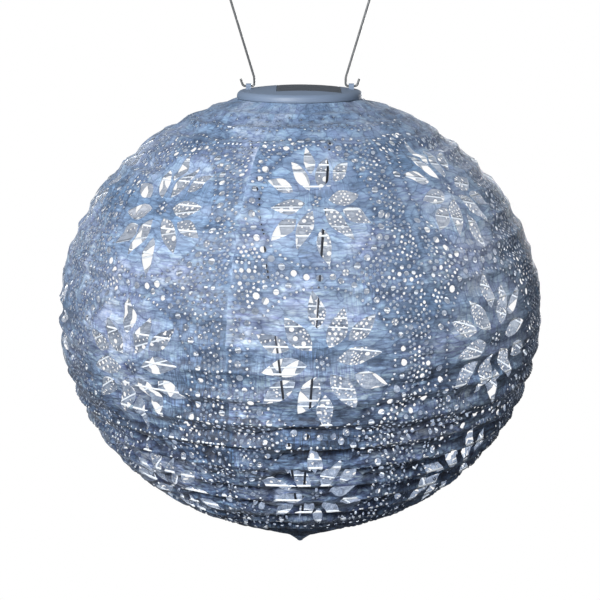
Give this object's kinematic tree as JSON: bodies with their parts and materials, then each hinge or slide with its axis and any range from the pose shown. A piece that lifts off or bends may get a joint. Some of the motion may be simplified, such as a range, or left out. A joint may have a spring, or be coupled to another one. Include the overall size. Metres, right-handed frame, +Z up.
{
  "type": "hanging globe lantern",
  "caption": "Hanging globe lantern: die-cut sheet shade on wire hoops, folding flat when its snap-in solar cap with wire expander comes out, on a wire bail.",
  "frame": {"origin": "the hang point, on the wire's centre line at the top of the bail", "axes": "+Z up along the lantern's axis; +X along the line through the cap's two lugs"},
  "size_m": [0.3049, 0.305, 0.4501],
  "materials": {
    "bail_wire": "satin",
    "cap_plastic": "matte",
    "collar_plastic": "matte",
    "panel_resin": "gloss",
    "cells": "gloss",
    "gasket_rubber": "matte",
    "battery_jacket": "gloss",
    "spring_steel": "satin",
    "board": "satin",
    "led_resin": "gloss",
    "lens_plastic": "satin",
    "switch_metal": "satin",
    "knob_plastic": "satin",
    "screw_steel": "satin",
    "lead_jacket": "satin",
    "expander_wire": "satin",
    "ring_plastic": "satin",
    "shade_sheet": "matte",
    "hoop_coat": "satin"
  },
  "bodies": {
    "bail": {"bail": "bail_wire"},
    "cap": {"cap_shell": "cap_plastic", "solar_panel": "panel_resin", "solar_cells": "cells", "cap_gasket": "gasket_rubber", "cap_base": "collar_plastic", "battery_cell": "battery_jacket", "battery_spring": "spring_steel", "battery_contact": "spring_steel", "circuit_board": "board", "led": "led_resin", "led_lens": "lens_plastic", "switch_body": "switch_metal", "cap_screws": "screw_steel", "panel_leads": "lead_jacket", "expander": "expander_wire", "expander_tip": "knob_plastic"},
    "door": {"battery_door": "cap_plastic"},
    "slider": {"switch_slider": "knob_plastic"},
    "shade": {"neck_ring": "ring_plastic", "shade_skin": "shade_sheet"},
    "hoop_01": {"hoop_01": "hoop_coat"},
    "hoop_02": {"hoop_02": "hoop_coat"},
    "hoop_03": {"hoop_03": "hoop_coat"},
    "hoop_04": {"hoop_04": "hoop_coat"},
    "hoop_05": {"hoop_05": "hoop_coat"},
    "hoop_06": {"hoop_06": "hoop_coat"},
    "hoop_07": {"hoop_07": "hoop_coat"},
    "hoop_08": {"hoop_08": "hoop_coat"},
    "hoop_09": {"hoop_09": "hoop_coat"},
    "hoop_10": {"hoop_10": "hoop_coat"},
    "hoop_11": {"hoop_11": "hoop_coat"},
    "hoop_12": {"hoop_12": "hoop_coat"},
    "hoop_13": {"hoop_13": "hoop_coat"},
    "hoop_14": {"hoop_14": "hoop_coat"},
    "hoop_15": {"hoop_15": "hoop_coat"},
    "hoop_16": {"hoop_16": "hoop_coat"},
    "hoop_17": {"hoop_17": "hoop_coat"},
    "hoop_18": {"hoop_18": "hoop_coat"},
    "hoop_19": {"hoop_19": "hoop_coat"},
    "hoop_20": {"hoop_20": "hoop_coat"},
    "hoop_21": {"hoop_21": "hoop_coat"},
    "hoop_22": {"hoop_22": "hoop_coat"},
    "hoop_23": {"hoop_23": "hoop_coat"},
    "hoop_24": {"hoop_24": "hoop_coat"},
    "hoop_25": {"hoop_25": "hoop_coat"},
    "bottom": {"bottom_button": "ring_plastic"}
  },
  "joints": [
    {"name": "bail_swing", "type": "hinge", "parent": "bail", "child": "cap", "pos_m": [0, 0, -0.1509], "axis": [1, 0, 0], "range_deg": [-90, 90]},
    {"name": "shade_release", "type": "slide", "parent": "cap", "child": "shade", "axis": [0, 0, -1], "range_m": [0, 0.3], "deforming": ["shade_skin"]},
    {"name": "switch_slide", "type": "slide", "parent": "cap", "child": "slider", "axis": [1, 0, 0], "range_m": [0, 0.003]},
    {"name": "door_slide", "type": "slide", "parent": "cap", "child": "door", "axis": [0, 1, 0], "range_m": [0, 0.015]},
    {"name": "hoop_01_fold", "type": "slide", "parent": "shade", "child": "hoop_01", "axis": [0, 0, 1], "range_m": [0, 0.00485]},
    {"name": "hoop_02_fold", "type": "slide", "parent": "shade", "child": "hoop_02", "axis": [0, 0, 1], "range_m": [0, 0.01019]},
    {"name": "hoop_03_fold", "type": "slide", "parent": "shade", "child": "hoop_03", "axis": [0, 0, 1], "range_m": [0, 0.01676]},
    {"name": "hoop_04_fold", "type": "slide", "parent": "shade", "child": "hoop_04", "axis": [0, 0, 1], "range_m": [0, 0.02453]},
    {"name": "hoop_05_fold", "type": "slide", "parent": "shade", "child": "hoop_05", "axis": [0, 0, 1], "range_m": [0, 0.03344]},
    {"name": "hoop_06_fold", "type": "slide", "parent": "shade", "child": "hoop_06", "axis": [0, 0, 1], "range_m": [0, 0.04325]},
    {"name": "hoop_07_fold", "type": "slide", "parent": "shade", "child": "hoop_07", "axis": [0, 0, 1], "range_m": [0, 0.05396]},
    {"name": "hoop_08_fold", "type": "slide", "parent": "shade", "child": "hoop_08", "axis": [0, 0, 1], "range_m": [0, 0.06542]},
    {"name": "hoop_09_fold", "type": "slide", "parent": "shade", "child": "hoop_09", "axis": [0, 0, 1], "range_m": [0, 0.07745]},
    {"name": "hoop_10_fold", "type": "slide", "parent": "shade", "child": "hoop_10", "axis": [0, 0, 1], "range_m": [0, 0.08993]},
    {"name": "hoop_11_fold", "type": "slide", "parent": "shade", "child": "hoop_11", "axis": [0, 0, 1], "range_m": [0, 0.10271]},
    {"name": "hoop_12_fold", "type": "slide", "parent": "shade", "child": "hoop_12", "axis": [0, 0, 1], "range_m": [0, 0.11564]},
    {"name": "hoop_13_fold", "type": "slide", "parent": "shade", "child": "hoop_13", "axis": [0, 0, 1], "range_m": [0, 0.12854]},
    {"name": "hoop_14_fold", "type": "slide", "parent": "shade", "child": "hoop_14", "axis": [0, 0, 1], "range_m": [0, 0.14126]},
    {"name": "hoop_15_fold", "type": "slide", "parent": "shade", "child": "hoop_15", "axis": [0, 0, 1], "range_m": [0, 0.15368]},
    {"name": "hoop_16_fold", "type": "slide", "parent": "shade", "child": "hoop_16", "axis": [0, 0, 1], "range_m": [0, 0.16562]},
    {"name": "hoop_17_fold", "type": "slide", "parent": "shade", "child": "hoop_17", "axis": [0, 0, 1], "range_m": [0, 0.17693]},
    {"name": "hoop_18_fold", "type": "slide", "parent": "shade", "child": "hoop_18", "axis": [0, 0, 1], "range_m": [0, 0.18749]},
    {"name": "hoop_19_fold", "type": "slide", "parent": "shade", "child": "hoop_19", "axis": [0, 0, 1], "range_m": [0, 0.19718]},
    {"name": "hoop_20_fold", "type": "slide", "parent": "shade", "child": "hoop_20", "axis": [0, 0, 1], "range_m": [0, 0.20582]},
    {"name": "hoop_21_fold", "type": "slide", "parent": "shade", "child": "hoop_21", "axis": [0, 0, 1], "range_m": [0, 0.21338]},
    {"name": "hoop_22_fold", "type": "slide", "parent": "shade", "child": "hoop_22", "axis": [0, 0, 1], "range_m": [0, 0.21974]},
    {"name": "hoop_23_fold", "type": "slide", "parent": "shade", "child": "hoop_23", "axis": [0, 0, 1], "range_m": [0, 0.2255]},
    {"name": "hoop_24_fold", "type": "slide", "parent": "shade", "child": "hoop_24", "axis": [0, 0, 1], "range_m": [0, 0.23126]},
    {"name": "hoop_25_fold", "type": "slide", "parent": "shade", "child": "hoop_25", "axis": [0, 0, 1], "range_m": [0, 0.23702]},
    {"name": "bottom_fold", "type": "slide", "parent": "shade", "child": "bottom", "axis": [0, 0, 1], "range_m": [0, 0.24617]}
  ],
  "couplings": [
    {"joint": "hoop_01_fold", "follows": "shade_release", "ratio": 0.0155},
    {"joint": "hoop_02_fold", "follows": "shade_release", "ratio": 0.0333},
    {"joint": "hoop_03_fold", "follows": "shade_release", "ratio": 0.0552},
    {"joint": "hoop_04_fold", "follows": "shade_release", "ratio": 0.0811},
    {"joint": "hoop_05_fold", "follows": "shade_release", "ratio": 0.1108},
    {"joint": "hoop_06_fold", "follows": "shade_release", "ratio": 0.1435},
    {"joint": "hoop_07_fold", "follows": "shade_release", "ratio": 0.1792},
    {"joint": "hoop_08_fold", "follows": "shade_release", "ratio": 0.2174},
    {"joint": "hoop_09_fold", "follows": "shade_release", "ratio": 0.2575},
    {"joint": "hoop_10_fold", "follows": "shade_release", "ratio": 0.2991},
    {"joint": "hoop_11_fold", "follows": "shade_release", "ratio": 0.3417},
    {"joint": "hoop_12_fold", "follows": "shade_release", "ratio": 0.3848},
    {"joint": "hoop_13_fold", "follows": "shade_release", "ratio": 0.4278},
    {"joint": "hoop_14_fold", "follows": "shade_release", "ratio": 0.4702},
    {"joint": "hoop_15_fold", "follows": "shade_release", "ratio": 0.5116},
    {"joint": "hoop_16_fold", "follows": "shade_release", "ratio": 0.5514},
    {"joint": "hoop_17_fold", "follows": "shade_release", "ratio": 0.5891},
    {"joint": "hoop_18_fold", "follows": "shade_release", "ratio": 0.6243},
    {"joint": "hoop_19_fold", "follows": "shade_release", "ratio": 0.6566},
    {"joint": "hoop_20_fold", "follows": "shade_release", "ratio": 0.6854},
    {"joint": "hoop_21_fold", "follows": "shade_release", "ratio": 0.7106},
    {"joint": "hoop_22_fold", "follows": "shade_release", "ratio": 0.7318},
    {"joint": "hoop_23_fold", "follows": "shade_release", "ratio": 0.751},
    {"joint": "hoop_24_fold", "follows": "shade_release", "ratio": 0.7702},
    {"joint": "hoop_25_fold", "follows": "shade_release", "ratio": 0.7894},
    {"joint": "bottom_fold", "follows": "shade_release", "ratio": 0.8199}
  ]
}
